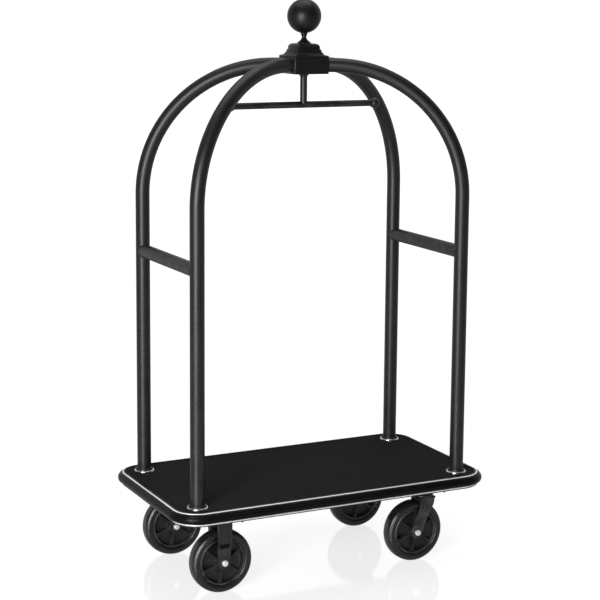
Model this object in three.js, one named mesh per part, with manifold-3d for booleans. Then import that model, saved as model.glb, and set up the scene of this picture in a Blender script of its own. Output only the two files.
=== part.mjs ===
// Hotel luggage cart: four bent tubes on a carpeted deck, gathered in a crown with a ball finial,
// a hanging bar with ball knobs, and four large casters, two of them swivelling.
// Millimetres. Z is up from the floor, X runs along the deck, the swivelling end at +X.
import * as THREE from 'three';
import { mergeVertices } from 'three/addons/utils/BufferGeometryUtils.js';
import Module from 'manifold-3d';

const wasm = await Module();
wasm.setup();

// Driving dimensions
const deckLength = 1100;          // over the bumper
const deckWidth = 608;
const cornerRadius = 95;          // of the bumper's outline
const postSpanX = 920;            // between post axes along the deck
const postSpanY = 442;            // between post axes across it
const tubeRadius = 22.5;
const tubeWall = 2;
const archHeight = 1321;          // carpet to the tube axis at the crown
const bendRadius = 413;           // of the tube axis
const railDrop = 181;             // start of the bend to the end rails
const hangerDrop = 125;           // tube axis at the crown to the hanging bar
const barSpan = 511;              // between the knobs at its ends
const capHeight = 40;
const ballRadius = 54;
const ballRise = 152.5;           // tube axis at the crown to the ball's centre
const wheelRadius = 100;
const tyreWidth = 48;
const casterSpanY = 390;          // between wheel centres across the deck
const fixedCasterX = -373;
const swivelPivotX = 351;
const trail = 38;                 // swivel axis to axle
const casterHead = 40;            // top of the wheel to the mounting face
const gap = 0.3;                  // between pieces that touch

// Deck build-up, from the carpet down
const carpetThickness = 5.7;
const boardThickness = 18;
const frameDepth = 22.4;
const deckBuild = carpetThickness + boardThickness + frameDepth + 3 * gap;
const deckHeight = 2 * wheelRadius + casterHead + deckBuild;   // floor to the carpet
const boardTop = deckHeight - carpetThickness - gap;
const boardBottom = boardTop - boardThickness;
const frameTop = boardBottom - gap;
const frameBottom = frameTop - frameDepth;

// Edge channel and bumper, as insets from the bumper's outline
const bumperNose = 14;
const lipReach = 10;
const channelWall = 2.5;
const topLip = 2.5;
const bottomLip = 4.5;
const channelHeight = 38;
const channelTop = deckHeight;
const channelBottom = channelTop - channelHeight;
const boardInset = bumperNose + lipReach + gap;

const boltRadius = 6;
const boltHole = 6.5;

// Materials
const paint = (color, roughness, metalness = 0) => new THREE.MeshStandardMaterial({ color, roughness, metalness });
const blackSatin = paint(0x161617, 0.42);
const carpetBlack = paint(0x0b0b0c, 0.95);
const rubberBlack = paint(0x141414, 0.7);
const plyBrown = paint(0x8a6b45, 0.7);
const brightAlloy = paint(0xd8dadc, 0.2, 1);
const zinc = paint(0xb4b6b8, 0.32, 1);
const forkGrey = paint(0x2b2c2d, 0.45, 0.3);
const hubGrey = paint(0x232426, 0.5);

const cart = new THREE.Group();

function addPiece(parent, name, shape, material, position = [0, 0, 0], turn = 0) {
  const geometry = shape.isBufferGeometry ? shape : geometryOf(shape);
  const mesh = new THREE.Mesh(geometry, material);
  mesh.name = name;
  mesh.position.set(...position);
  mesh.rotation.z = turn;
  parent.add(mesh);
  return mesh;
}

// A closed three.js geometry as a solid that can be cut and joined
function solid(geometry) {
  const bare = geometry.clone();
  bare.deleteAttribute('normal');
  bare.deleteAttribute('uv');
  const merged = mergeVertices(bare, 1e-3);
  const index = merged.index.array;
  const kept = [];
  for (let i = 0; i < index.length; i += 3) {
    const [a, b, c] = index.slice(i, i + 3);
    if (a !== b && b !== c && c !== a) kept.push(a, b, c);
  }
  return new wasm.Manifold(new wasm.Mesh({
    numProp: 3,
    vertProperties: Float32Array.from(merged.attributes.position.array),
    triVerts: Uint32Array.from(kept),
  }));
}

function geometryOf(body) {
  const mesh = body.getMesh();
  const geometry = new THREE.BufferGeometry();
  geometry.setAttribute('position', new THREE.BufferAttribute(Float32Array.from(mesh.vertProperties), 3));
  geometry.setIndex(new THREE.BufferAttribute(Uint32Array.from(mesh.triVerts), 1));
  geometry.computeVertexNormals();
  return geometry;
}

function box(x0, x1, y0, y1, z0, z1) {
  const geometry = new THREE.BoxGeometry(x1 - x0, y1 - y0, z1 - z0);
  return solid(geometry.translate((x0 + x1) / 2, (y0 + y1) / 2, (z0 + z1) / 2));
}

// A round bar along Z
function rod(radius, z0, z1, sides = 16, x = 0, y = 0) {
  const geometry = new THREE.CylinderGeometry(radius, radius, z1 - z0, sides);
  return solid(geometry.rotateX(Math.PI / 2).translate(x, y, (z0 + z1) / 2));
}

// The same bar along Y
function crossRod(radius, y0, y1, sides = 16, x = 0, z = 0) {
  const geometry = new THREE.CylinderGeometry(radius, radius, y1 - y0, sides);
  return solid(geometry.translate(x, (y0 + y1) / 2, z));
}

// A profile of [radius, height] points turned about Z, listed anticlockwise
function turned(profile, sides = 20) {
  const points = profile.map(([radius, height]) => new THREE.Vector2(radius, height));
  return new THREE.LatheGeometry(points, sides).rotateX(Math.PI / 2);
}

function turnedRing(profile, sides = 20) {
  return turned([...profile, profile[0]], sides);
}

// A rounded rectangle that lies inset from the bumper's outline
function deckOutline(inset) {
  const halfX = deckLength / 2 - inset;
  const halfY = deckWidth / 2 - inset;
  const radius = cornerRadius - inset;
  const outline = new THREE.Shape();
  outline.absarc(halfX - radius, halfY - radius, radius, 0, Math.PI / 2);
  outline.absarc(radius - halfX, halfY - radius, radius, Math.PI / 2, Math.PI);
  outline.absarc(radius - halfX, radius - halfY, radius, Math.PI, 1.5 * Math.PI);
  outline.absarc(halfX - radius, radius - halfY, radius, 1.5 * Math.PI, 2 * Math.PI);
  outline.closePath();
  return outline;
}

function slab(outline, z0, z1, options = {}) {
  const settings = { depth: z1 - z0, bevelEnabled: false, curveSegments: 3, ...options };
  return solid(new THREE.ExtrudeGeometry(outline, settings).translate(0, 0, z0));
}

const posts = [['BL', -1, 1], ['FL', -1, -1], ['BR', 1, 1], ['FR', 1, -1]]
  .map(([tag, sx, sy]) => ({ tag, x: sx * postSpanX / 2, y: sy * postSpanY / 2 }));

// Deck ------------------------------------------------------------------
function boardWithHoles(z0, z1, radius, sides) {
  return posts.reduce(
    (body, post) => body.subtract(rod(radius, z0 - 1, z1 + 1, sides, post.x, post.y)),
    slab(deckOutline(boardInset), z0, z1),
  );
}

const frameHalfX = deckLength / 2 - 60;
const frameHalfY = deckWidth / 2 - 54;
const frameRail = 40;
const frameWall = 3;

// Channels open below: two long rails, two end rails and three cross members, with solid corners
function underFrame() {
  const railY = frameHalfY - frameRail;
  const railX = frameHalfX - frameRail;
  const channels = [
    [-railX, railX, -frameHalfY, -railY], [-railX, railX, railY, frameHalfY],
    [-frameHalfX, -railX, -railY, railY], [railX, frameHalfX, -railY, railY],
    ...[[fixedCasterX, 64], [0, 40], [swivelPivotX, 64]]
      .map(([x, width]) => [x - width / 2, x + width / 2, -railY, railY]),
  ];
  let body = box(-frameHalfX, frameHalfX, -frameHalfY, frameHalfY, frameBottom, frameTop)
    .subtract(box(-railX, railX, -railY, railY, frameBottom - 1, frameTop + 1));
  for (const [x0, x1, y0, y1] of channels) body = body.add(box(x0, x1, y0, y1, frameBottom, frameTop));
  for (const [x0, x1, y0, y1] of channels) {
    const alongX = x1 - x0 > y1 - y0;
    const [dx, dy] = alongX ? [0, frameWall] : [frameWall, 0];
    body = body.subtract(box(x0 + dx, x1 - dx, y0 + dy, y1 - dy, frameBottom - 1, frameTop - frameWall));
  }
  for (const post of posts) {
    body = body.subtract(rod(boltHole, frameBottom - 1, frameTop + 1, 12, post.x, post.y));
  }
  return body;
}

// A C-shaped rim whose lips hold the bumper
function edgeChannel() {
  const wallInset = boardInset - gap - channelWall;
  const groove = slab(deckOutline(0), channelBottom + bottomLip, channelTop - topLip)
    .subtract(slab(deckOutline(wallInset), channelBottom, channelTop));
  return slab(deckOutline(bumperNose), channelBottom, channelTop)
    .subtract(slab(deckOutline(boardInset - gap), channelBottom - 1, channelTop + 1))
    .subtract(groove);
}

function bumper() {
  const z0 = channelBottom + bottomLip + gap;
  const z1 = channelTop - topLip - gap;
  const round = (z1 - z0) / 2 - 2;
  const strip = slab(deckOutline(bumperNose), z0 + round, z1 - round, {
    bevelEnabled: true, bevelThickness: round, bevelSize: bumperNose, bevelSegments: 4,
  });
  const backInset = boardInset - channelWall - gap - gap;
  return strip.subtract(slab(deckOutline(backInset), z0 - 1, z1 + 1));
}

const collarBore = tubeRadius + 1;
const collarRadius = collarBore + 4;
const ringRadius = collarRadius + 5.5;
addPiece(cart, 'deck_board', boardWithHoles(boardBottom, boardTop, boltHole, 12), plyBrown);
addPiece(cart, 'deck_carpet', boardWithHoles(boardTop + gap, deckHeight, ringRadius + 0.8, 20), carpetBlack);
addPiece(cart, 'under_frame', underFrame(), blackSatin);
addPiece(cart, 'edge_channel', edgeChannel(), brightAlloy);
addPiece(cart, 'bumper', bumper(), rubberBlack);

// Post feet --------------------------------------------------------------
const footBase = boardTop + gap;
const plugDepth = 35;
const headHeight = 8;

const footCollar = turnedRing([
  [collarBore, 0], [collarRadius, 0], [collarRadius, 12], [collarRadius - 1.5, 15], [collarBore, 15],
]);
const footRing = turnedRing([
  [collarRadius + 0.6, 0], [ringRadius, 0], [ringRadius, 6.5], [ringRadius - 1.5, 9], [ringRadius - 3.5, 9.4], [collarRadius + 0.6, 8],
]);
const postBolt = rod(boltRadius - 0.3, -gap, plugDepth + footBase - frameBottom - 5, 12)
  .add(rod(11, -headHeight - gap, -gap, 6));

for (const { tag, x, y } of posts) {
  addPiece(cart, `post_collar_${tag}`, footCollar.clone(), blackSatin, [x, y, footBase]);
  addPiece(cart, `post_ring_${tag}`, footRing.clone(), brightAlloy, [x, y, footBase]);
  addPiece(cart, `post_bolt_${tag}`, postBolt, zinc, [x, y, frameBottom]);
}

// Arches -----------------------------------------------------------------
const postReach = Math.hypot(postSpanX, postSpanY) / 2;
const postAngle = Math.atan2(postSpanY, postSpanX);
const bendCentreS = postReach - bendRadius;
const bendCentreZ = deckHeight + archHeight - bendRadius;
const crownZ = deckHeight + archHeight;

// The tube's axis in the plane that holds the post and the crown: up, round the bend, then level.
// Steps follow the corner points instead of equal lengths, so the straights take one step each.
class PostPath extends THREE.Curve {
  constructor(footZ, bendSteps = 12, endS = 50) {
    super();
    this.corners = [new THREE.Vector3(postReach, 0, footZ)];
    for (let i = 0; i <= bendSteps; i += 1) {
      const angle = (i / bendSteps) * Math.PI / 2;
      this.corners.push(new THREE.Vector3(
        bendCentreS + bendRadius * Math.cos(angle), 0, bendCentreZ + bendRadius * Math.sin(angle),
      ));
    }
    this.corners.push(new THREE.Vector3(endS, 0, crownZ));
  }

  getPoint(t, target = new THREE.Vector3()) {
    const place = THREE.MathUtils.clamp(t, 0, 1) * (this.corners.length - 1);
    const i = Math.min(Math.floor(place), this.corners.length - 2);
    return target.lerpVectors(this.corners[i], this.corners[i + 1], place - i);
  }

  getPointAt(u, target) {
    return this.getPoint(u, target);
  }

  getTangentAt(u, target) {
    return this.getTangent(u, target);
  }
}

function sweep(path, radius, sides) {
  const section = new THREE.Shape();
  section.absarc(0, 0, radius, 0, 2 * Math.PI);
  return solid(new THREE.ExtrudeGeometry(section, {
    steps: path.corners.length - 1, extrudePath: path, curveSegments: sides / 2,
  }));
}

const tubeSides = 12;
const tubeOuter = sweep(new PostPath(footBase), tubeRadius, tubeSides);
const tubeInner = sweep(new PostPath(footBase + plugDepth), tubeRadius - tubeWall, tubeSides);
const tubeBlank = tubeOuter.subtract(tubeInner)
  .subtract(rod(boltRadius + 0.3, footBase - 1, footBase + plugDepth + 1, 12, postReach, 0));

// The crown block is as wide as its two tubes a side need, and a little taller than they are
const tubeSpacing = 3.4;
const crownHalf = (tubeRadius / Math.cos(postAngle) + tubeSpacing) / Math.tan(postAngle);
const crownHeight = 2 * tubeRadius + 9;
const crownBottom = crownZ - crownHeight / 2;
const crownTop = crownZ + crownHeight / 2;
const crownSpace = box(
  -crownHalf - gap, crownHalf + gap, -crownHalf - gap, crownHalf + gap, crownBottom - 1, crownTop + 1,
);

for (const { tag, x, y } of posts) {
  const heading = THREE.MathUtils.radToDeg(Math.atan2(y, x));
  addPiece(cart, `arch_tube_${tag}`, tubeBlank.rotate([0, 0, heading]).subtract(crownSpace), blackSatin);
}

// End rails, coped onto their posts
const railRadius = tubeRadius - 1;
const railZ = bendCentreZ - railDrop;
const railBlank = crossRod(railRadius, -postSpanY / 2, postSpanY / 2)
  .subtract(crossRod(railRadius - tubeWall, -postSpanY, postSpanY));
const cope = (y) => rod(tubeRadius + 0.6, -60, 60, 24, 0, y);
const rail = railBlank.subtract(cope(postSpanY / 2)).subtract(cope(-postSpanY / 2));
for (const [tag, side] of [['L', -1], ['R', 1]]) {
  addPiece(cart, `end_rail_${tag}`, rail, blackSatin, [side * postSpanX / 2, 0, railZ]);
}

// Crown ------------------------------------------------------------------
const crownWall = 6;
const pocket = crownHalf - crownWall;
const crownBox = box(-crownHalf, crownHalf, -crownHalf, crownHalf, crownBottom, crownTop)
  .subtract(box(-pocket, pocket, -pocket, pocket, crownBottom + crownWall, crownTop + 1))
  .subtract(rod(boltHole, crownBottom - 1, crownBottom + crownWall + 1, 12));

// A square moulding: cove, step and quarter round, as half widths and shares of the cap's height
function capMoulding() {
  const profile = [
    [0, 0], [crownHalf, 0], [crownHalf, 0.06], [0.86 * crownHalf, 0.09], [0.77 * crownHalf, 0.17],
    [0.73 * crownHalf, 0.31], [0.7 * crownHalf, 0.31], [0.7 * crownHalf, 0.53], [0.64 * crownHalf, 0.55],
    [0.64 * crownHalf, 0.72], [0.61 * crownHalf, 0.86], [0.54 * crownHalf, 0.96], [0.46 * crownHalf, 1],
    [0, 1],
  ];
  const points = profile.map(([half, share]) => new THREE.Vector2(half * Math.SQRT2, share * capHeight));
  return solid(new THREE.LatheGeometry(points, 4, Math.PI / 4).rotateX(Math.PI / 2));
}
const capBottom = crownTop + gap;
const crownCap = capMoulding().subtract(rod(boltHole, -1, capHeight + 1, 12));

const capTop = capBottom + capHeight;
const ballZ = crownZ + ballRise;
const ballBottom = ballZ - ballRadius;
const stemHeight = ballBottom - capTop - gap - 0.4;
const spigotRadius = 6.8;
const spigotLength = 14;
const stem = turned([
  [0, crownBottom + 2 - capTop], [boltRadius, crownBottom + 2 - capTop], [boltRadius, 0], [22, 0], [22, 3],
  [18.5, 0.2 * stemHeight], [11, 0.36 * stemHeight], [7.5, 0.55 * stemHeight], [7.5, 0.7 * stemHeight],
  [9.5, 0.86 * stemHeight], [10.5, stemHeight], [spigotRadius, stemHeight],
  [spigotRadius, stemHeight + spigotLength], [0, stemHeight + spigotLength],
], 16);

// A hollow ball, open below where the stem enters
function ballShell() {
  const mouth = spigotRadius + 0.9;
  const arc = (radius, count) => {
    const start = Math.asin(mouth / radius) - Math.PI / 2;
    return Array.from({ length: count + 1 }, (_, i) => {
      const angle = start + (i / count) * (Math.PI / 2 - start);
      return [i === count ? 0 : radius * Math.cos(angle), radius * Math.sin(angle)];
    });
  };
  return turned([...arc(ballRadius - 3, 5).reverse(), ...arc(ballRadius, 9)], 20);
}

addPiece(cart, 'crown_box', crownBox, blackSatin);
addPiece(cart, 'crown_cap', crownCap, blackSatin, [0, 0, capBottom]);
addPiece(cart, 'finial_stem', stem, blackSatin, [0, 0, capTop + gap]);
addPiece(cart, 'finial_ball', ballShell(), blackSatin, [0, 0, ballZ]);

// Hanging bar ------------------------------------------------------------
// It runs along the deck below the crown, free at both ends but for its ball knobs.
const barRadius = 10.5;
const dropRadius = 11.5;
const knobRadius = 17;
const socketFloor = 2;            // short of the knob's centre
const barZ = crownZ - hangerDrop;

function lengthwise(radius, x0, x1, sides = 16) {
  const geometry = new THREE.CylinderGeometry(radius, radius, x1 - x0, sides);
  return solid(geometry.rotateZ(Math.PI / 2).translate((x0 + x1) / 2, 0, barZ));
}

// A ball, bored to take the bar's end
function knob() {
  const bore = barRadius + 0.4;
  const start = Math.asin(bore / knobRadius) - Math.PI / 2;
  const count = 9;
  const arc = Array.from({ length: count + 1 }, (_, i) => {
    const angle = start + (i / count) * (Math.PI / 2 - start);
    return [i === count ? 0 : knobRadius * Math.cos(angle), knobRadius * Math.sin(angle)];
  });
  return turned([[0, -socketFloor], [bore, -socketFloor], ...arc], 18);
}

const barReach = barSpan / 2 - socketFloor - gap;
const knobShape = solid(knob().rotateY(Math.PI / 2));
const drop = rod(dropRadius, barZ + 3, crownBottom - gap)
  .add(solid(turned([
    [0, crownBottom - gap - 12], [dropRadius - 0.5, crownBottom - gap - 12], [13.5, crownBottom - gap - 5],
    [18, crownBottom - gap - 1.5], [18, crownBottom - gap], [0, crownBottom - gap],
  ], 16)))
  .subtract(lengthwise(barRadius + 0.5, -60, 60));

addPiece(cart, 'hanger_bar', lengthwise(barRadius, -barReach, barReach), blackSatin);
addPiece(cart, 'hanger_drop', drop, blackSatin);
addPiece(cart, 'bar_knob_R', knobShape, blackSatin, [barSpan / 2, 0, barZ]);
addPiece(cart, 'bar_knob_L', knobShape, blackSatin, [-barSpan / 2, 0, barZ], Math.PI);

// Casters ----------------------------------------------------------------
// Each is built about its axle's centre, the axle along Y and the bolt's head at -Y.
const legInner = tyreWidth / 2 + 4.3;
const legThickness = 4.5;
const legOuter = legInner + legThickness;
const legEnd = 20;
const plateThickness = 4;
const plateTop = frameBottom - gap - wheelRadius;
const plateBottom = plateTop - plateThickness;
const plateHalfX = 70;
const plateHalfY = 55;
const axleRadius = 6;

// A leg outline in X and Z, stood up along Y from y0 to y1
function legPlate(outline, y0, y1) {
  const geometry = new THREE.ExtrudeGeometry(outline, { depth: y1 - y0, bevelEnabled: false, curveSegments: 4 });
  return solid(geometry.rotateX(Math.PI / 2).translate(0, y1, 0));
}

function bothLegs(outline) {
  return legPlate(outline, -legOuter, -legInner).add(legPlate(outline, legInner, legOuter));
}

const axleHole = crossRod(axleRadius + 0.4, -60, 60, 12);

function fixedFork() {
  const legHalf = 23;
  const foldDepth = 8;
  const foldBottom = 48;
  const outline = new THREE.Shape();
  outline.moveTo(legHalf, plateBottom + 1);
  outline.lineTo(-legHalf, plateBottom + 1);
  outline.lineTo(-legHalf, foldBottom - 8);
  outline.lineTo(-legEnd, 0);
  outline.absarc(0, 0, legEnd, Math.PI, 2 * Math.PI);
  outline.lineTo(legHalf, foldBottom - 8);
  outline.closePath();
  let body = box(-plateHalfX, plateHalfX, -plateHalfY, plateHalfY, plateBottom, plateTop).add(bothLegs(outline));
  for (const sideX of [-1, 1]) {
    for (const sideY of [-1, 1]) {
      const [x0, x1] = [sideX * legHalf, sideX * (legHalf - 4)].sort((a, b) => a - b);
      const [y0, y1] = [sideY * (legOuter - 1), sideY * (legOuter + foldDepth)].sort((a, b) => a - b);
      body = body.add(box(x0, x1, y0, y1, foldBottom, plateBottom + 1));
    }
  }
  return body.subtract(axleHole);
}

// Swivel stack, from the mounting plate down
const raceRadius = 38;
const raceBottom = plateBottom - 14;
const cupRadius = 34;
const cupTop = raceBottom - 0.5;
const forkTop = cupTop - 7.5;
const forkTopThickness = 5;
const forkTopBottom = forkTop - forkTopThickness;

function swivelFork() {
  const headHalf = 30;
  const outline = new THREE.Shape();
  outline.moveTo(trail + 27, forkTopBottom + 1);
  outline.lineTo(trail - 24, forkTopBottom + 1);
  outline.lineTo(trail - 26, forkTopBottom - 24);
  outline.lineTo(-0.93 * legEnd, 0.36 * legEnd);
  outline.absarc(0, 0, legEnd, 0.88 * Math.PI, 2.16 * Math.PI);
  outline.lineTo(trail + 16, forkTopBottom - 34);
  outline.lineTo(trail + 23, forkTopBottom - 18);
  outline.closePath();
  return box(trail - headHalf, trail + headHalf, -legOuter, legOuter, forkTopBottom, forkTop)
    .add(bothLegs(outline))
    .add(rod(cupRadius, forkTop - 1, cupTop, 20, trail, 0))
    .subtract(rod(axleRadius + 0.5, forkTopBottom - 1, cupTop + 1, 12, trail, 0))
    .subtract(axleHole);
}

const swivelPlate = box(
  trail - plateHalfX, trail + plateHalfX, -plateHalfY, plateHalfY, plateBottom, plateTop,
)
  .add(rod(raceRadius, raceBottom, plateBottom + 1, 20, trail, 0))
  .subtract(rod(axleRadius + 0.5, raceBottom - 1, plateTop + 1, 12, trail, 0));

const kingNut = 6.5;
const kingBolt = rod(axleRadius, forkTopBottom - gap, plateTop - 0.5, 12, trail, 0)
  .add(rod(11, forkTopBottom - gap - kingNut, forkTopBottom - gap, 6, trail, 0));

const axleHead = 8.5;
const axleNut = 8;
const axleBolt = crossRod(axleRadius, -legOuter - gap, legOuter + gap + axleNut + 2, 12)
  .add(crossRod(10.5, -legOuter - gap - axleHead, -legOuter - gap, 6));
const nut = crossRod(10.5, legOuter + gap, legOuter + gap + axleNut, 6)
  .subtract(crossRod(axleRadius + 0.4, 0, 60, 12));

// Wheels turn about Y
const acrossAxle = (geometry) => geometry.rotateX(-Math.PI / 2);
const tyreSides = 28;
const rimRadius = 0.746 * wheelRadius;
const hubHalf = tyreWidth / 2 + 3;

function tyre() {
  const crest = wheelRadius / Math.cos(Math.PI / tyreSides);   // flats, not corners, meet the floor
  const half = tyreWidth / 2;
  const inner = rimRadius + 0.8;
  const side = [[inner, 0.86 * half], [0.86 * crest, half], [0.965 * crest, 0.85 * half], [crest, 0.46 * half]];
  const lower = side.map(([radius, height]) => [radius, -height]);
  return acrossAxle(turnedRing([...lower, ...side.slice().reverse()], tyreSides))
    .rotateY(Math.PI / tyreSides);
}

function hub() {
  const boss = 16;
  const web = 3;
  const rimHalf = 0.44 * tyreWidth;
  const rimInner = rimRadius - 6.5;
  const lower = [
    [axleRadius + 0.8, -hubHalf], [boss, -hubHalf], [boss, -web], [rimInner, -web], [rimInner, -rimHalf],
    [rimRadius, -rimHalf],
  ];
  const upper = lower.map(([radius, height]) => [radius, -height]).reverse();
  let body = solid(acrossAxle(turnedRing([...lower, ...upper], 18)));
  for (let i = 0; i < 6; i += 1) {
    const outline = new THREE.Shape();
    outline.moveTo(boss - 2, -0.9 * hubHalf);
    outline.lineTo(rimInner + 2, -0.7 * rimHalf);
    outline.lineTo(rimInner + 2, 0.7 * rimHalf);
    outline.lineTo(boss - 2, 0.9 * hubHalf);
    outline.closePath();
    const rib = new THREE.ExtrudeGeometry(outline, { depth: 4, bevelEnabled: false })
      .translate(0, 0, -2).rotateY((i / 6) * 2 * Math.PI + Math.PI / 7.5);
    body = body.add(solid(rib));
  }
  return body;
}

const hubShape = hub();
const tyreShape = tyre();

function addWheel(caster, tag) {
  addPiece(caster, `wheel_hub_${tag}`, hubShape, hubGrey);
  addPiece(caster, `wheel_tyre_${tag}`, tyreShape.clone(), rubberBlack);
  addPiece(caster, `axle_bolt_${tag}`, axleBolt, zinc);
  addPiece(caster, `axle_nut_${tag}`, nut, zinc);
}

for (const [tag, side] of [['F', -1], ['B', 1]]) {
  // The back pair is turned about Z so that its bolt heads face outwards too
  const y = side * casterSpanY / 2;
  const fixed = new THREE.Group();
  fixed.position.set(fixedCasterX, y, wheelRadius);
  fixed.rotation.z = side > 0 ? Math.PI : 0;
  addPiece(fixed, `fixed_fork_${tag}L`, fixedFork(), forkGrey);
  addWheel(fixed, `${tag}L`);
  cart.add(fixed);

  const swivel = new THREE.Group();
  swivel.position.set(swivelPivotX - trail, y, wheelRadius);
  addPiece(swivel, `swivel_plate_${tag}R`, swivelPlate, zinc);
  addPiece(swivel, `king_bolt_${tag}R`, kingBolt, zinc);
  addPiece(swivel, `swivel_fork_${tag}R`, swivelFork(), forkGrey);
  const wheel = new THREE.Group();
  wheel.rotation.z = side > 0 ? Math.PI : 0;
  addWheel(wheel, `${tag}R`);
  swivel.add(wheel);
  cart.add(swivel);
}

export default cart;
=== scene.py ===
# Hotel luggage cart: the finished look of every piece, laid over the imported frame.
# Metres. Z is up from the floor, X runs along the deck, the swivelling casters are at +X.
import math

import bmesh
import bpy
from mathutils import Matrix, Vector, noise


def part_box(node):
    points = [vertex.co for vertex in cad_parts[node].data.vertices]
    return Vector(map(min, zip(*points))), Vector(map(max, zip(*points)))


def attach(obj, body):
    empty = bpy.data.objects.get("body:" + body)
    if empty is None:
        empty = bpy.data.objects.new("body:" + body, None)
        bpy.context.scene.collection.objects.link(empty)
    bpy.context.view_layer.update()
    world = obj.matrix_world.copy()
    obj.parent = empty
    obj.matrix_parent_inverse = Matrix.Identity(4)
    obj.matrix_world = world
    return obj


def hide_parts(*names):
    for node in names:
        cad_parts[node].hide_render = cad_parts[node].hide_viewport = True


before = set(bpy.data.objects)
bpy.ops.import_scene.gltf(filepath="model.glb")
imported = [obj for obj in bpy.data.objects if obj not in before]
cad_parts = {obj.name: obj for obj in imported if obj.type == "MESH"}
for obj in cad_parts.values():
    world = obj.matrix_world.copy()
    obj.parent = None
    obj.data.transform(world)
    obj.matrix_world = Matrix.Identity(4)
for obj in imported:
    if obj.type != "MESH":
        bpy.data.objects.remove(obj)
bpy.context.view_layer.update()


# where things are, read from the frame

def middle(node):
    low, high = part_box(node)
    return (low + high) / 2


def spread(node):
    low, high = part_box(node)
    return high - low


tags = ("FL", "BL", "FR", "BR")
posts = {tag: middle(f"post_collar_{tag}") for tag in tags}
axles = {tag: middle(f"wheel_tyre_{tag}") for tag in tags}
crownHalf = spread("crown_box").x / 2
crownZ = middle("crown_box").z
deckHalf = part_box("bumper")[1]
deckCorner = 0.095                       # radius of the bumper's corners

tube = {
    "radius": 0.0225,
    "sides": 48,
    "bendRadius": 0.413,                 # of the tube's axis
    "bendSteps": 40,
    "railRadius": 0.0215,
    "weldRadius": 0.0026,
}
postReach = math.hypot(posts["FL"].x, posts["FL"].y)
postAngle = math.atan2(abs(posts["FL"].y), abs(posts["FL"].x))
bendCentre = Vector((postReach - tube["bendRadius"], 0, crownZ - tube["bendRadius"]))


# mesh helpers

# points joined by edges
def chain(bm, points, closed=False):
    verts = [bm.verts.new(p) for p in points]
    edges = [bm.edges.new(pair) for pair in zip(verts, verts[1:])]
    if closed:
        edges.append(bm.edges.new((verts[-1], verts[0])))
    return edges


def turnAbout(centre, axis, angle):
    there = Matrix.Translation(centre)
    return there @ Matrix.Rotation(angle, 4, axis) @ there.inverted()


# stands the Z axis along direction, at a point
def along(direction, at=(0, 0, 0)):
    turn = Vector((0, 0, 1)).rotation_difference(Vector(direction))
    return Matrix.Translation(at) @ turn.to_matrix().to_4x4()


# extrudes edges and carries the new ones by matrix
def pull(bm, edges, matrix):
    made = bmesh.ops.extrude_edge_only(bm, edges=edges)["geom"]
    verts = {v for v in made if isinstance(v, bmesh.types.BMVert)}
    bmesh.ops.transform(bm, matrix=matrix, verts=list(verts))
    return [e for e in made if isinstance(e, bmesh.types.BMEdge) and verts.issuperset(e.verts)]


# puts a finished part in place in a piece
def addPart(bm, part, place=Matrix.Identity(4)):
    mesh = bpy.data.meshes.new("part")
    bmesh.ops.transform(part, matrix=place, verts=part.verts)
    part.to_mesh(mesh)
    part.free()
    bm.from_mesh(mesh)
    bpy.data.meshes.remove(mesh)


# spins (radius, height) points about Z
def turnedPart(profile, steps=48, closed=False):
    part = bmesh.new()
    edges = chain(part, [(radius, 0, height) for radius, height in profile], closed)
    bmesh.ops.spin(part, geom=part.verts[:] + edges, cent=(0, 0, 0), axis=(0, 0, 1), angle=2 * math.pi,
                   steps=steps, use_merge=True, use_duplicate=False)
    bmesh.ops.remove_doubles(part, verts=part.verts, dist=1e-6)
    bmesh.ops.recalc_face_normals(part, faces=part.faces)
    return part


# bevels sharp edges, or only the chosen ones among them
def soften(part, width, segments=2, sharperThan=30, chosen=None):
    part.normal_update()
    edges = [
        e for e in part.edges
        if len(e.link_faces) == 2 and e.calc_face_angle() > math.radians(sharperThan)
        and (chosen is None or chosen(e))
    ]
    bmesh.ops.bevel(part, geom=edges, offset=width, segments=segments, profile=0.5, affect="EDGES",
                    clamp_overlap=True, material=-1)
    return part


# a box with its edges eased
def block(low, high, width=0.0008, segments=2):
    part = bmesh.new()
    low, high = Vector(low), Vector(high)
    place = Matrix.Translation((low + high) / 2) @ Matrix.Diagonal((*(high - low), 1))
    bmesh.ops.create_cube(part, size=1, matrix=place)
    return soften(part, width, segments)


# a flat plate from an XY outline; rounding gives a radius for each corner,
# and holes are (x, y, half length, half width)
def plateOf(outline, rounding, thickness, width=0.0007, holes=()):
    part = bmesh.new()
    corners = [part.verts.new((x, y, 0)) for x, y in outline]
    part.faces.new(corners)
    for corner, radius in zip(corners, rounding):
        if radius:
            bmesh.ops.bevel(part, geom=[corner], offset=radius, segments=10, profile=0.5,
                            affect="VERTICES", clamp_overlap=True, material=-1)
    if holes:
        bmesh.ops.delete(part, geom=part.faces[:], context="FACES_ONLY")
        for x, y, long, across in holes:
            place = Matrix.Translation((x, y, 0)) @ Matrix.Diagonal((long, across, 1, 1))
            bmesh.ops.create_circle(part, cap_ends=False, segments=20, radius=1, matrix=place)
        bmesh.ops.triangle_fill(part, use_beauty=True, use_dissolve=False, edges=part.edges[:])
    made = bmesh.ops.extrude_face_region(part, geom=part.faces[:])["geom"]
    lifted = [v for v in made if isinstance(v, bmesh.types.BMVert)]
    bmesh.ops.translate(part, vec=(0, 0, thickness), verts=lifted)
    bmesh.ops.recalc_face_normals(part, faces=part.faces)
    return soften(part, width, 2, 50)


# a hexagon head or nut with its outer corners chamfered
def hexPart(radius, height):
    part = bmesh.new()
    bmesh.ops.create_cone(part, cap_ends=True, segments=6, radius1=radius, radius2=radius, depth=height,
                          matrix=Matrix.Translation((0, 0, height / 2)))
    soften(part, 0.12 * radius, 2, 50, lambda e: min(v.co.z for v in e.verts) > 0.9 * height)
    return soften(part, 0.03 * radius, 1, 50)


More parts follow.
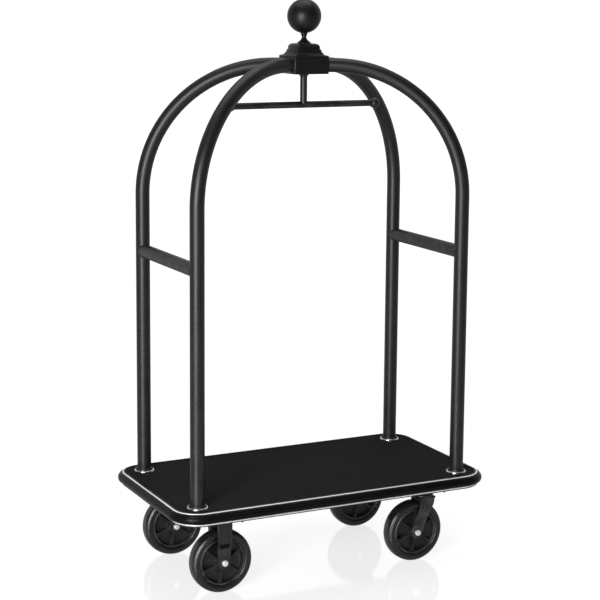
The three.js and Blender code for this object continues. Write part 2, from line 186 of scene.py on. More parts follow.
def washer(inner, outer, thickness):
    part = turnedPart([(inner, 0), (outer, 0), (outer, thickness), (inner, thickness)], 36, True)
    return soften(part, 0.25 * thickness, 2)


# a weld bead in a ring, a little uneven
def beadRing(radius, thickness, stretch=1.0, seed=0.0):
    part = turnedPart([
        (radius + thickness * math.cos(a), thickness * math.sin(a))
        for a in (i * math.pi / 5 for i in range(10))
    ], 96, True)
    for v in part.verts:
        outward = Vector((v.co.x, v.co.y, 0)).normalized()
        v.co += outward * noise.noise(v.co * 260 + Vector((seed, 0, 0))) * 0.35 * thickness
    bmesh.ops.scale(part, vec=(1, stretch, 1), verts=part.verts)
    return part


# cleans the mesh and hands it over as a piece that rides on its body
def makePiece(bm, name, body, material, standsFor=(), sharperThan=32, evenShading=False):
    bmesh.ops.remove_doubles(bm, verts=bm.verts, dist=1e-6)
    bmesh.ops.recalc_face_normals(bm, faces=bm.faces)
    for face in bm.faces:
        face.smooth = True
    for edge in bm.edges:
        edge.smooth = len(edge.link_faces) != 2 or edge.calc_face_angle() < math.radians(sharperThan)
    mesh = bpy.data.meshes.new(name)
    bm.to_mesh(mesh)
    bm.free()
    piece = bpy.data.objects.new(name, mesh)
    bpy.context.scene.collection.objects.link(piece)
    mesh.materials.append(material)
    if evenShading:
        shading = piece.modifiers.new("evenShading", "WEIGHTED_NORMAL")
        shading.keep_sharp = True
    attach(piece, body)
    if standsFor:
        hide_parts(*standsFor)
    return piece


# effects that several finishes share

def addNode(tree, kind, inputs=None, **settings):
    node = tree.nodes.new(kind)
    for name, value in settings.items():
        setattr(node, name, value)
    for name, value in (inputs or {}).items():
        if isinstance(value, bpy.types.NodeSocket):
            tree.links.new(value, node.inputs[name])
        else:
            node.inputs[name].default_value = value
    return node


# maps value from low..high to toLow..toHigh
def remap(tree, value, low, high, toLow=0.0, toHigh=1.0, **settings):
    return addNode(tree, "ShaderNodeMapRange", {
        "Value": value, "From Min": low, "From Max": high, "To Min": toLow, "To Max": toHigh,
    }, **settings).outputs[0]


def product(tree, first, second):
    return addNode(tree, "ShaderNodeMath", {0: first, 1: second}, operation="MULTIPLY").outputs[0]


def objectPoint(tree):
    return addNode(tree, "ShaderNodeTexCoord").outputs["Object"]


# an empty node group with named sockets
def newEffect(name, inputs, outputs):
    group = bpy.data.node_groups.new(name, "ShaderNodeTree")
    for label, kind, value in inputs:
        socket = group.interface.new_socket(label, in_out="INPUT", socket_type=kind)
        socket.default_value = value
    for label, kind in outputs:
        group.interface.new_socket(label, in_out="OUTPUT", socket_type=kind)
    return group, group.nodes.new("NodeGroupInput").outputs, group.nodes.new("NodeGroupOutput").inputs


# fine relief of a coat or a moulding, and a broad mottle
def buildGrain():
    group, given, result = newEffect("surfaceGrain", [
        ("Scale", "NodeSocketFloat", 300.0),
        ("Stretch", "NodeSocketVector", (1.0, 1.0, 1.0)),
        ("Mottle Scale", "NodeSocketFloat", 9.0),
    ], [("Relief", "NodeSocketFloat"), ("Mottle", "NodeSocketFloat")])
    spot = objectPoint(group)
    laid = addNode(group, "ShaderNodeVectorMath", {0: spot, 1: given["Stretch"]}, operation="MULTIPLY")
    fine = addNode(group, "ShaderNodeTexNoise", {
        "Vector": laid.outputs[0], "Scale": given["Scale"], "Detail": 3.0, "Roughness": 0.55,
    })
    broad = addNode(group, "ShaderNodeTexNoise", {
        "Vector": laid.outputs[0], "Scale": given["Mottle Scale"], "Detail": 5.0, "Roughness": 0.62,
    })
    group.links.new(fine.outputs["Fac"], result["Relief"])
    group.links.new(broad.outputs["Fac"], result["Mottle"])
    return group


# where corners have been rubbed
def buildWear():
    group, given, result = newEffect("rubbedEdges", [
        ("Amount", "NodeSocketFloat", 0.5),
        ("Breakup", "NodeSocketFloat", 40.0),
    ], [("Mask", "NodeSocketFloat")])
    pointed = addNode(group, "ShaderNodeNewGeometry").outputs["Pointiness"]
    patch = addNode(group, "ShaderNodeTexNoise", {
        "Vector": objectPoint(group), "Scale": given["Breakup"], "Detail": 4.0,
    })
    rubbed = product(group, remap(group, pointed, 0.53, 0.62), remap(group, patch.outputs["Fac"], 0.42, 0.62))
    group.links.new(product(group, rubbed, given["Amount"]), result["Mask"])
    return group


# dust that lies on faces that look up, and thin haze elsewhere
def buildDust():
    group, given, result = newEffect("settledDust", [
        ("Amount", "NodeSocketFloat", 0.3),
        ("Scale", "NodeSocketFloat", 22.0),
    ], [("Mask", "NodeSocketFloat")])
    facing = addNode(group, "ShaderNodeSeparateXYZ", {
        "Vector": addNode(group, "ShaderNodeNewGeometry").outputs["Normal"],
    })
    drift = addNode(group, "ShaderNodeTexNoise", {
        "Vector": objectPoint(group), "Scale": given["Scale"], "Detail": 6.0, "Roughness": 0.7,
    })
    settled = product(group, remap(group, facing.outputs["Z"], -0.2, 1.0, 0.15),
                      remap(group, drift.outputs["Fac"], 0.35, 0.75))
    group.links.new(product(group, settled, given["Amount"]), result["Mask"])
    return group


grainEffect, wearEffect, dustEffect = buildGrain(), buildWear(), buildDust()


def placeEffect(tree, group, **values):
    node = tree.nodes.new("ShaderNodeGroup")
    node.node_tree = group
    for name, value in values.items():
        node.inputs[name].default_value = value
    return node


def blendColour(tree, mask, first, second):
    mix = addNode(tree, "ShaderNodeMix", {"Factor": mask}, data_type="RGBA")
    for socket, value in ((mix.inputs[6], first), (mix.inputs[7], second)):
        if isinstance(value, bpy.types.NodeSocket):
            tree.links.new(value, socket)
        else:
            socket.default_value = (*value, 1)
    return mix.outputs[2]


# a new material, its tree and its Principled node
def newFinish(name):
    material = bpy.data.materials.new(name)
    material.use_nodes = True
    return material, material.node_tree, material.node_tree.nodes["Principled BSDF"]


def addBump(tree, shader, height, depth):
    bump = addNode(tree, "ShaderNodeBump", {"Height": height, "Strength": 1.0, "Distance": depth})
    tree.links.new(bump.outputs[0], shader.inputs["Normal"])


# a paint, rubber, plastic or metal finish from one dictionary
def coatedFinish(name, look):
    material, tree, shader = newFinish(name)
    shader.inputs["Metallic"].default_value = look.get("metallic", 0.0)
    for socket, value in look.get("gloss", {}).items():
        shader.inputs[socket].default_value = value

    grain = placeEffect(tree, grainEffect, Scale=look["grain"], **{"Mottle Scale": look["mottle"]})
    mottle = grain.outputs["Mottle"]
    colour = blendColour(tree, remap(tree, mottle, 0.3, 0.7), look["colour"], look["second"])
    dust = placeEffect(tree, dustEffect, Amount=look["dust"])
    colour = blendColour(tree, dust.outputs["Mask"], colour, look.get("dustColour", (0.16, 0.155, 0.145)))
    wear = placeEffect(tree, wearEffect, Amount=look["wear"])
    colour = blendColour(tree, wear.outputs["Mask"], colour, look.get("wearColour", (0.11, 0.11, 0.112)))
    tree.links.new(colour, shader.inputs["Base Color"])

    rough = remap(tree, mottle, 0.3, 0.7, *look["roughness"])
    dusty = addNode(tree, "ShaderNodeMath", {      # dust dulls the gloss
        0: dust.outputs["Mask"], 1: 0.35, 2: rough,
    }, operation="MULTIPLY_ADD")
    tree.links.new(dusty.outputs[0], shader.inputs["Roughness"])
    addBump(tree, shader, grain.outputs["Relief"], look["relief"])
    return material


# finishes

blackPaint = coatedFinish("satinBlackPaint", {
    "colour": (0.0036, 0.0036, 0.0037), "second": (0.0062, 0.0062, 0.0063),
    "roughness": (0.40, 0.47), "grain": 420.0, "relief": 0.00003, "mottle": 7.0,
    "gloss": {"Specular IOR Level": 0.4},
    "dust": 0.02, "wear": 0.15,
})
crownPaint = coatedFinish("crownBlackPaint", {
    "colour": (0.0024, 0.0024, 0.0025), "second": (0.0042, 0.0042, 0.0043),
    "roughness": (0.36, 0.44), "grain": 420.0, "relief": 0.00006, "mottle": 9.0,
    "gloss": {"Specular IOR Level": 0.26},
    "dust": 0.02, "wear": 0.15,
})
framePaint = coatedFinish("frameBlackPaint", {
    "colour": (0.008, 0.008, 0.0082), "second": (0.014, 0.0138, 0.0132),
    "roughness": (0.5, 0.66), "grain": 300.0, "relief": 0.00012, "mottle": 6.0,
    "dust": 0.3, "wear": 0.4,
})
bumperRubber = coatedFinish("bumperRubber", {
    "colour": (0.0016, 0.0016, 0.0017), "second": (0.0032, 0.0032, 0.0032),
    "gloss": {"Specular IOR Level": 0.11},
    "roughness": (0.28, 0.37), "grain": 520.0, "relief": 0.00005, "mottle": 11.0,
    "dust": 0.03, "dustColour": (0.09, 0.09, 0.086), "wear": 0.2, "wearColour": (0.04, 0.04, 0.04),
})
brightAlloy = coatedFinish("polishedAlloy", {
    "colour": (0.95, 0.95, 0.96), "second": (0.86, 0.86, 0.87), "metallic": 0.4,
    "roughness": (0.26, 0.36), "grain": 700.0, "relief": 0.00002, "mottle": 16.0,
    "dust": 0.03, "dustColour": (0.5, 0.49, 0.47), "wear": 0.1, "wearColour": (0.95, 0.95, 0.95),
})
ringChrome = coatedFinish("ringChrome", {
    "colour": (0.74, 0.74, 0.75), "second": (0.62, 0.62, 0.63), "metallic": 1.0,
    "roughness": (0.17, 0.24), "grain": 700.0, "relief": 0.00001, "mottle": 30.0,
    "dust": 0.04, "dustColour": (0.4, 0.39, 0.37), "wear": 0.1, "wearColour": (0.9, 0.9, 0.9),
})
zincPlate = coatedFinish("dullZinc", {
    "colour": (0.90, 0.90, 0.89), "second": (0.74, 0.74, 0.73), "metallic": 0.55,
    "roughness": (0.24, 0.38), "grain": 600.0, "relief": 0.00004, "mottle": 60.0,
    "dust": 0.12, "dustColour": (0.4, 0.39, 0.37), "wear": 0.3, "wearColour": (0.85, 0.85, 0.84),
})
forkPaint = coatedFinish("casterForkPaint", {
    "colour": (0.0055, 0.0055, 0.0058), "second": (0.0095, 0.0095, 0.0098),
    "roughness": (0.34, 0.46), "grain": 380.0, "relief": 0.00008, "mottle": 22.0,
    "dust": 0.08, "wear": 0.3, "wearColour": (0.10, 0.10, 0.10),
})
hubPlastic = coatedFinish("ribbedHubPlastic", {
    "colour": (0.0040, 0.0040, 0.0041), "second": (0.0070, 0.0070, 0.0072),
    "roughness": (0.34, 0.46), "grain": 900.0, "relief": 0.00004, "mottle": 26.0,
    "dust": 0.06, "wear": 0.8,
})
tyreRubber = coatedFinish("tyreRubber", {
    "colour": (0.0042, 0.0042, 0.0042), "second": (0.0080, 0.0079, 0.0077),
    "roughness": (0.24, 0.36), "grain": 340.0, "relief": 0.00010, "mottle": 18.0,
    "dust": 0.12, "dustColour": (0.08, 0.077, 0.072), "wear": 0.2, "wearColour": (0.035, 0.035, 0.034),
})


# short cut pile: tufts in relief, flecks in two near blacks, and painted shade darkening the gaps between
# tufts
def carpetFinish(look):
    material, tree, shader = newFinish("deckCarpetPile")
    shader.inputs["Sheen Weight"].default_value = look["sheen"]
    shader.inputs["Sheen Roughness"].default_value = 0.6
    shader.inputs["Specular IOR Level"].default_value = 0.08
    spot = objectPoint(tree)
    tufts = addNode(tree, "ShaderNodeTexVoronoi", {
        "Vector": spot, "Scale": look["tufts"],
    }).outputs["Distance"]
    fibre = addNode(tree, "ShaderNodeTexNoise", {
        "Vector": spot, "Scale": look["fibres"], "Detail": 4.0,
    }).outputs["Fac"]
    wide = placeEffect(tree, grainEffect, Scale=60.0, **{"Mottle Scale": look["trodden"]})
    trodden = wide.outputs["Mottle"]
    colour = blendColour(tree, remap(tree, fibre, 0.35, 0.68), look["dark"], look["light"])
    # painted shade: the gaps between tufts, low in the relief, are coloured darker as if in shadow
    colour = blendColour(tree, remap(tree, tufts, 0.0, 0.7, 0.0, 0.75), colour, look["tuftGapShade"])
    colour = blendColour(tree, remap(tree, trodden, 0.35, 0.7, 0.0, 0.3), colour, look["light"])
    tree.links.new(colour, shader.inputs["Base Color"])
    tree.links.new(remap(tree, fibre, 0.3, 0.7, 0.88, 1.0), shader.inputs["Roughness"])
    relief = addNode(tree, "ShaderNodeMath", {0: product(tree, fibre, 0.5), 1: tufts}, operation="SUBTRACT")
    addBump(tree, shader, relief.outputs[0], look["relief"])
    return material


# stained rotary cut veneer, its grain along the deck
def plywoodFinish(look):
    material, tree, shader = newFinish("deckPlywood")
    laid = addNode(tree, "ShaderNodeMapping", {"Vector": objectPoint(tree), "Scale": look["stretch"]})
    figure = addNode(tree, "ShaderNodeTexWave", {
        "Vector": laid.outputs[0], "Scale": look["figure"], "Distortion": 9.0, "Detail": 4.0,
        "Detail Scale": 1.6,
    }, bands_direction="Y")
    pores = addNode(tree, "ShaderNodeTexNoise", {
        "Vector": laid.outputs[0], "Scale": look["pores"], "Detail": 5.0,
    }).outputs["Fac"]
    colour = blendColour(tree, figure.outputs["Fac"], look["light"], look["dark"])
    colour = blendColour(tree, remap(tree, pores, 0.52, 0.7, 0.0, 0.6), colour, look["pore"])
    tree.links.new(colour, shader.inputs["Base Color"])
    tree.links.new(remap(tree, pores, 0.3, 0.7, 0.55, 0.75), shader.inputs["Roughness"])
    addBump(tree, shader, pores, look["relief"])
    return material


carpetPile = carpetFinish({
    "dark": (0.0024, 0.0023, 0.0022), "light": (0.0066, 0.0062, 0.0059), "tuftGapShade": (0.0010, 0.0010, 0.0010),
    "tufts": 420.0, "fibres": 900.0, "trodden": 3.0, "relief": 0.0010, "sheen": 0.02,
})
plywood = plywoodFinish({
    "light": (0.060, 0.046, 0.036), "dark": (0.038, 0.028, 0.021), "pore": (0.018, 0.013, 0.010),
    "stretch": (1.2, 14.0, 14.0), "figure": 1.6, "pores": 16.0, "relief": 0.0003,
})
print("finishes made")


# the four bent tubes, each welded to a side of the crown

def archTube(tag):
    post = posts[tag]
    towards = 1 if post.x > 0 else -1
    heading = math.atan2(post.y, post.x)
    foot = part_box(f"arch_tube_{tag}")[0].z
    bm = bmesh.new()
    bmesh.ops.create_circle(bm, cap_ends=True, segments=tube["sides"], radius=tube["radius"],
                            matrix=Matrix.Translation((postReach, 0, foot)))
    edges = pull(bm, list(bm.edges), Matrix.Translation((0, 0, bendCentre.z - foot)))
    for _ in range(tube["bendSteps"]):
        edges = pull(bm, edges, turnAbout(bendCentre, "Y", -math.pi / 2 / tube["bendSteps"]))
    pull(bm, edges, Matrix.Translation((-bendCentre.x, 0, 0)))
    bmesh.ops.rotate(bm, cent=(0, 0, 0), matrix=Matrix.Rotation(heading, 3, "Z"), verts=bm.verts)
    bmesh.ops.bisect_plane(bm, geom=bm.verts[:] + bm.edges[:] + bm.faces[:], clear_outer=True,
                           plane_co=(towards * crownHalf, 0, 0), plane_no=(-towards, 0, 0))
    bmesh.ops.holes_fill(bm, edges=[e for e in bm.edges if e.is_boundary])
    mouth = (towards * crownHalf, math.copysign(crownHalf * math.tan(postAngle), post.y), crownZ)
    bead = beadRing(tube["radius"] + 0.0006, tube["weldRadius"], 1 / math.cos(postAngle), heading)
    addPart(bm, bead, along((1, 0, 0), mouth))
    makePiece(bm, f"bentTube_{tag}", "cart", blackPaint, [f"arch_tube_{tag}"])


for tag in tags:
    archTube(tag)
print("bent tubes made")


# collar and bright ring at each foot

postFoot = {                             # (radius, height) in metres, from the carpet up
    "bore": 0.0226,
    "collar": [(0.0275, 0.0), (0.0275, 0.0122), (0.0269, 0.0140), (0.0256, 0.0149), (0.0226, 0.0150)],
    "ring": [
        (0.0278, 0.0), (0.0330, 0.0), (0.0330, 0.0052), (0.0326, 0.0070), (0.0315, 0.0085),
        (0.0300, 0.0093), (0.0284, 0.0094), (0.0278, 0.0090),
    ],
}
for tag, post in posts.items():
    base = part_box(f"post_collar_{tag}")[0].z
    place = Matrix.Translation((post.x, post.y, base))
    bm = bmesh.new()
    addPart(bm, turnedPart([(postFoot["bore"], 0.0), *postFoot["collar"]], 64, True), place)
    makePiece(bm, f"footCollar_{tag}", "cart", blackPaint, [f"post_collar_{tag}"])
    bm = bmesh.new()
    addPart(bm, turnedPart(postFoot["ring"], 64, True), place)
    makePiece(bm, f"footRing_{tag}", "cart", ringChrome, [f"post_ring_{tag}"], 50)
print("post feet made")


# end rails, coped to the posts and welded round

# the bead where a rail meets a post, along the line where the two round walls cross
def copeWeld(bm, centre, side):
    curve = bpy.data.curves.new("copeLine", "CURVE")
    curve.dimensions = "3D"
    curve.bevel_depth = tube["weldRadius"] * 0.8
    curve.bevel_resolution = 3
    line = curve.splines.new("POLY")
    count = 72
    line.points.add(count - 1)
    line.use_cyclic_u = True
    for i, point in enumerate(line.points):
        angle = 2 * math.pi * i / count
        radius = tube["railRadius"] + 0.0004 * (1 + math.sin(angle * 24))
        x, z = radius * math.cos(angle), radius * math.sin(angle)
        reach = math.sqrt(tube["radius"] ** 2 - min(abs(x), tube["radius"] * 0.995) ** 2)
        point.co = (centre.x + x, centre.y - side * reach, centre.z + z, 1)
    holder = bpy.data.objects.new("copeLine", curve)
    bm.from_mesh(bpy.data.meshes.new_from_object(holder))
    bpy.data.objects.remove(holder)


for name, pair in (("L", ("FL", "BL")), ("R", ("FR", "BR"))):
    level = middle(f"end_rail_{name}").z
    front, back = (posts[tag] for tag in pair)
    bm = bmesh.new()
    start = Vector((front.x, front.y, level))
    bmesh.ops.create_circle(bm, cap_ends=True, segments=tube["sides"], radius=tube["railRadius"],
                            matrix=along((0, 1, 0), start))
    pull(bm, list(bm.edges), Matrix.Translation((0, back.y - front.y, 0)))
    bmesh.ops.holes_fill(bm, edges=[e for e in bm.edges if e.is_boundary])
    for v in bm.verts:                   # ends follow the posts' round walls
        side = 1 if v.co.y > 0 else -1
        v.co.y = side * (back.y - math.sqrt(tube["radius"] ** 2 - (v.co.x - front.x) ** 2) + 0.0004)
    for side in (-1, 1):
        copeWeld(bm, Vector((front.x, side * back.y, level)), side)
    makePiece(bm, f"endRail_{name}", "cart", blackPaint, [f"end_rail_{name}"])
print("end rails made")


# crown: box, moulded cap, turned foot and ball

crown = {
    "edge": 0.0022,
    "cap": [                             # shares of the half width and of the height
        (1.0, 0.0), (1.0, 0.055), (0.985, 0.07), (0.925, 0.080), (0.870, 0.105), (0.825, 0.140),
        (0.790, 0.185), (0.765, 0.240), (0.750, 0.300), (0.745, 0.330), (0.705, 0.335), (0.700, 0.345),
        (0.700, 0.520), (0.695, 0.532), (0.645, 0.545), (0.640, 0.560), (0.640, 0.700), (0.633, 0.770),
        (0.615, 0.835), (0.588, 0.895), (0.550, 0.945), (0.505, 0.980), (0.455, 1.0),
    ],
    "stem": [                            # (radius, share of the height), from the foot to the ball's cup
        (0.0, 0.0), (0.0220, 0.0), (0.0220, 0.06), (0.0214, 0.09), (0.0200, 0.12), (0.0180, 0.17),
        (0.0150, 0.24), (0.0120, 0.32), (0.0096, 0.41), (0.0081, 0.50), (0.0075, 0.58), (0.0075, 0.68),
        (0.0080, 0.75), (0.0088, 0.81), (0.0100, 0.86), (0.0106, 0.90), (0.0106, 0.97), (0.0100, 1.02),
        (0.0, 1.02),
    ],
    "ballSteps": 40,
}

low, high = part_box("crown_box")
bm = block(low, high, crown["edge"], 4)
makePiece(bm, "crownBox", "cart", crownPaint, ["crown_box"], 60, True)

low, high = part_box("crown_cap")
bm = bmesh.new()
bmesh.ops.create_circle(bm, cap_ends=True, segments=4, radius=math.sqrt(2) * crownHalf,
                        matrix=Matrix.Translation((0, 0, low.z)) @ Matrix.Rotation(math.pi / 4, 4, "Z"))
edges = list(bm.edges)
for (wide, rise), (nextWide, nextRise) in zip(crown["cap"], crown["cap"][1:]):
    shrink = nextWide / wide
    lift = (nextRise - rise) * (high.z - low.z)
    edges = pull(bm, edges, Matrix.Translation((0, 0, lift)) @ Matrix.Diagonal((shrink, shrink, 1, 1)))
bmesh.ops.holes_fill(bm, edges=edges)
mitres = [e for e in bm.edges if abs(abs(e.verts[0].co.x) - abs(e.verts[0].co.y)) < 1e-6
          and abs(e.verts[0].co.z - e.verts[1].co.z) > 1e-5]
bmesh.ops.bevel(bm, geom=mitres, offset=0.0008, segments=2, profile=0.5, affect="EDGES",
                clamp_overlap=True, material=-1)
makePiece(bm, "crownCap", "cart", crownPaint, ["crown_cap"], 34)

capTop = high.z
ballLow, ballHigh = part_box("finial_ball")
ballZ, ballRadius = ballHigh.z - (ballHigh.x - ballLow.x) / 2, (ballHigh.x - ballLow.x) / 2
stemHeight = ballZ - ballRadius - capTop
bm = turnedPart([(radius, capTop + 0.0002 + share * stemHeight) for radius, share in crown["stem"]], 56)
makePiece(bm, "finialStem", "cart", crownPaint, ["finial_stem"], 40)

arc = [
    (ballRadius * math.sin(a), ballZ - ballRadius * math.cos(a))
    for a in (math.pi * i / crown["ballSteps"] for i in range(crown["ballSteps"] + 1))
]
arc[0], arc[-1] = (0, arc[0][1]), (0, arc[-1][1])
makePiece(turnedPart(arc, 72), "finialBall", "cart", crownPaint, ["finial_ball"], 60)
print("crown made")


# hanging bar with a ball knob at each end, and the short post that carries it

bar = {
    "radius": 0.0105,
    "postRadius": 0.0113,
    "knobRadius": 0.017,
    "neckRadius": 0.0125,
    "knobSteps": 22,
}
barZ = middle("hanger_bar").z
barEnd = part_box("hanger_bar")[1].x
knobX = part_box("bar_knob_R")[1].x - bar["knobRadius"]
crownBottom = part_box("crown_box")[0].z

bm = bmesh.new()
rod = turnedPart([(0, -barEnd), (bar["radius"], -barEnd), (bar["radius"], barEnd), (0, barEnd)], 40)
addPart(bm, rod, along((1, 0, 0), (0, 0, barZ)))
makePiece(bm, "hangingBar", "cart", blackPaint, ["hanger_bar"])

for name, side in (("R", 1), ("L", -1)):
    lowest = -math.sqrt(bar["knobRadius"] ** 2 - bar["neckRadius"] ** 2)
    first = math.atan2(lowest, bar["neckRadius"])
    sphere = [
        (bar["knobRadius"] * math.cos(a), bar["knobRadius"] * math.sin(a))
        for a in (first + (math.pi / 2 - first) * i / bar["knobSteps"] for i in range(bar["knobSteps"] + 1))
    ]
    sphere[-1] = (0, bar["knobRadius"])
    neck = [
        (bar["radius"] + 0.0002, lowest + 0.002), (bar["radius"] + 0.0002, lowest - 0.0016),
        (bar["neckRadius"] - 0.0004, lowest - 0.0016), (bar["neckRadius"], lowest - 0.0011),
    ]
    bm = bmesh.new()
    knob = turnedPart([(0, lowest + 0.002), *neck, *sphere], 48)
    addPart(bm, knob, along((side, 0, 0), (side * knobX, 0, barZ)))
    makePiece(bm, f"barKnob_{name}", "cart", blackPaint, [f"bar_knob_{name}"], 40)

bm = turnedPart([
    (0, barZ), (bar["postRadius"], barZ), (bar["postRadius"], crownBottom - 0.0125),
    (0.0121, crownBottom - 0.0088), (0.0138, crownBottom - 0.0055), (0.0162, crownBottom - 0.0032),
    (0.0178, crownBottom - 0.0022), (0.0180, crownBottom - 0.0002), (0, crownBottom - 0.0002),
], 48)
makePiece(bm, "barPost", "cart", blackPaint, ["hanger_drop"], 40)
print("hanging bar made")


# deck: carpet, bumper and the bright channel that holds it

# runs an (inset, height) profile once round the deck
def deckRing(profile, cornerSteps=18):
    bm = bmesh.new()
    sideX, sideY = deckHalf.x - deckCorner, deckHalf.y - deckCorner
    edges = chain(bm, [(0, inset - deckHalf.y, height) for inset, height in profile], closed=True)
    for step, corner in (
        ((sideX, 0), (sideX, -sideY)), ((0, 2 * sideY), (sideX, sideY)),
        ((-2 * sideX, 0), (-sideX, sideY)), ((0, -2 * sideY), (-sideX, -sideY)),
    ):
        edges = pull(bm, edges, Matrix.Translation((*step, 0)))
        for _ in range(cornerSteps):
            edges = pull(bm, edges, turnAbout((*corner, 0), "Z", math.pi / 2 / cornerSteps))
    pull(bm, edges, Matrix.Translation((sideX, 0, 0)))
    return bm


# a piece with that profile in millimetres, its heights counted from base
def ringPiece(name, profile, base, material, standsFor=()):
    bm = deckRing([(inset / 1000, base + height / 1000) for inset, height in profile])
    makePiece(bm, name, "cart", material, standsFor, 50)


bumper = {                               # (inset, height) in millimetres, height from the strip's foot
    "profile": [
        (21.3, 0.1), (14.6, 0.0), (12.6, 0.2), (9.0, 1.1), (6.2, 2.4), (3.6, 4.4), (1.7, 7.0), (0.5, 10.4),
        (0.0, 14.4), (0.2, 17.4), (1.0, 20.0), (2.0, 21.7), (2.9, 22.4), (4.4, 22.6), (4.9, 23.3),
        (4.5, 24.2), (4.6, 24.9), (6.0, 27.0), (8.0, 28.5), (10.6, 29.6), (13.0, 30.1), (14.8, 30.3),
        (21.3, 30.3),
    ],
}
channel = {                              # (inset, height) in millimetres, height from the channel's foot
    "profile": [
        (24.0, 0.4), (23.6, 0.0), (15.6, 0.0), (14.7, 0.3), (14.15, 1.0), (14.0, 2.0), (14.1, 3.3),
        (14.6, 4.2), (15.4, 4.5), (21.5, 4.5), (21.5, 35.5), (15.2, 35.5), (14.4, 35.8), (14.0, 36.4),
        (14.15, 37.2), (14.7, 37.8), (15.6, 38.0), (23.4, 38.0), (24.0, 37.6),
    ],
}
frameLip = {                             # a thin dark strip under the channel: partly the frame's black edge, partly a painted shade line below the channel's foot
    "profile": [(24.0, -0.1), (15.2, -0.1), (14.8, -0.5), (14.8, -2.6), (15.3, -3.0), (24.0, -3.0)],
}
carpetBinding = {                        # a flat rubber edge that covers the inner half of the channel's lip
    "profile": [
        (24.4, 36.2), (19.2, 36.2), (19.2, 38.3), (19.6, 38.7), (21.0, 38.9), (23.6, 38.9), (24.4, 38.5),
    ],
}
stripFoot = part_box("bumper")[0].z
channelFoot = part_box("edge_channel")[0].z
ringPiece("bumperStrip", bumper["profile"], stripFoot, bumperRubber, ["bumper"])
ringPiece("edgeChannel", channel["profile"], channelFoot, brightAlloy, ["edge_channel"])
# a dark strip painted in as the shade line under the channel's foot
ringPiece("frameLip", frameLip["profile"], channelFoot, framePaint)
ringPiece("carpetBinding", carpetBinding["profile"], channelFoot, bumperRubber)

carpet = {
    "cell": 0.0048,
    "pile": 0.0005,                      # height of the pile's unevenness
    "hole": 0.0333,                      # round the post rings
    "edgeDrop": 0.0011,
    "cornerSteps": 12,
}


def deckCarpet():
    low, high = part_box("deck_carpet")
    halfX, halfY = high.x, high.y
    corner = deckCorner - (deckHalf.x - halfX)
    bm = bmesh.new()
    bmesh.ops.create_grid(bm, x_segments=round(2 * halfX / carpet["cell"]),
                          y_segments=round(2 * halfY / carpet["cell"]), size=1)
    widest = max(v.co.x for v in bm.verts)
    bmesh.ops.scale(bm, vec=(halfX / widest, halfY / widest, 1), verts=bm.verts)
    for sideX in (-1, 1):
        for sideY in (-1, 1):
            centre = Vector((sideX * (halfX - corner), sideY * (halfY - corner), 0))
            near = [f for f in bm.faces if (f.calc_center_median().x - centre.x) * sideX > -0.01
                    and (f.calc_center_median().y - centre.y) * sideY > -0.01]
            for i in range(carpet["cornerSteps"]):
                angle = (i + 0.5) / carpet["cornerSteps"] * math.pi / 2
                outward = Vector((sideX * math.cos(angle), sideY * math.sin(angle), 0))
                near = [f for f in near if f.is_valid]
                verts, edges = {v for f in near for v in f.verts}, {e for f in near for e in f.edges}
                kept = bmesh.ops.bisect_plane(bm, geom=[*verts, *edges, *near], clear_outer=True, dist=1e-5,
                                              plane_co=centre + outward * corner, plane_no=outward)
                near = [f for f in kept["geom"] if isinstance(f, bmesh.types.BMFace)]
    for post in posts.values():
        axis = Vector((post.x, post.y, 0))
        inside = [f for f in bm.faces if (f.calc_center_median() - axis).length < carpet["hole"]]
        bmesh.ops.delete(bm, geom=inside, context="FACES")
        for v in bm.verts:
            out = v.co - axis
            if v.is_boundary and out.length < carpet["hole"] + 2 * carpet["cell"]:
                v.co = axis + out.normalized() * carpet["hole"]
    for v in bm.verts:
        lift = noise.noise(v.co * 160) * 0.6 + noise.noise(v.co * 23) * 0.4
        v.co.z = high.z - carpet["pile"] + lift * carpet["pile"]
        if v.is_boundary:
            v.co.z -= carpet["edgeDrop"]
    rim = [e for e in bm.edges if e.is_boundary]
    below = pull(bm, rim, Matrix.Identity(4))
    for v in {v for e in below for v in e.verts}:
        v.co.z = low.z + 0.0002
    bmesh.ops.triangle_fill(bm, use_beauty=True, use_dissolve=False, edges=below)
    piece = makePiece(bm, "deckCarpet", "cart", carpetPile, ["deck_carpet"], 60)


deckCarpet()
print("deck made")


# casters

caster = {
    "plateHalf": (0.070, 0.055),
    "plateCorner": 0.009,
    "plateThick": 0.004,
    "boltX": 0.056,
    "boltY": 0.0415,
    "legInner": 0.0283,
    "legOuter": 0.0328,
    "washer": (0.0066, 0.0125, 0.0013),  # bore, rim and thickness, round the axle
    "legHoles": [                        # (x, z, half length, half width) in a swivelling fork
        (0.021, 0.080, 0.0052, 0.0024), (0.003, 0.033, 0.0018, 0.0018),
    ],
}


def bodyOfCaster(tag):
    return f"swivel_{tag}" if tag.endswith("R") else "cart"


def casterPlate():
    halfX, halfY = caster["plateHalf"]
    return plateOf([(-halfX, -halfY), (halfX, -halfY), (halfX, halfY), (-halfX, halfY)],
                   [caster["plateCorner"]] * 4, caster["plateThick"], 0.001)


# one leg of a fork, from an XZ outline round the axle
def forkLeg(bm, side, outline, rounding, holes=()):
    y0, y1 = sorted((side * caster["legInner"], side * caster["legOuter"]))
    place = Matrix.Translation((0, y1, 0)) @ Matrix.Rotation(math.pi / 2, 4, "X")
    addPart(bm, plateOf(outline, rounding, y1 - y0, 0.0006, holes), place)


def legWasher(bm, side):
    addPart(bm, washer(*caster["washer"]), along((0, side, 0), (0, side * (caster["legOuter"] - 0.0004), 0)))


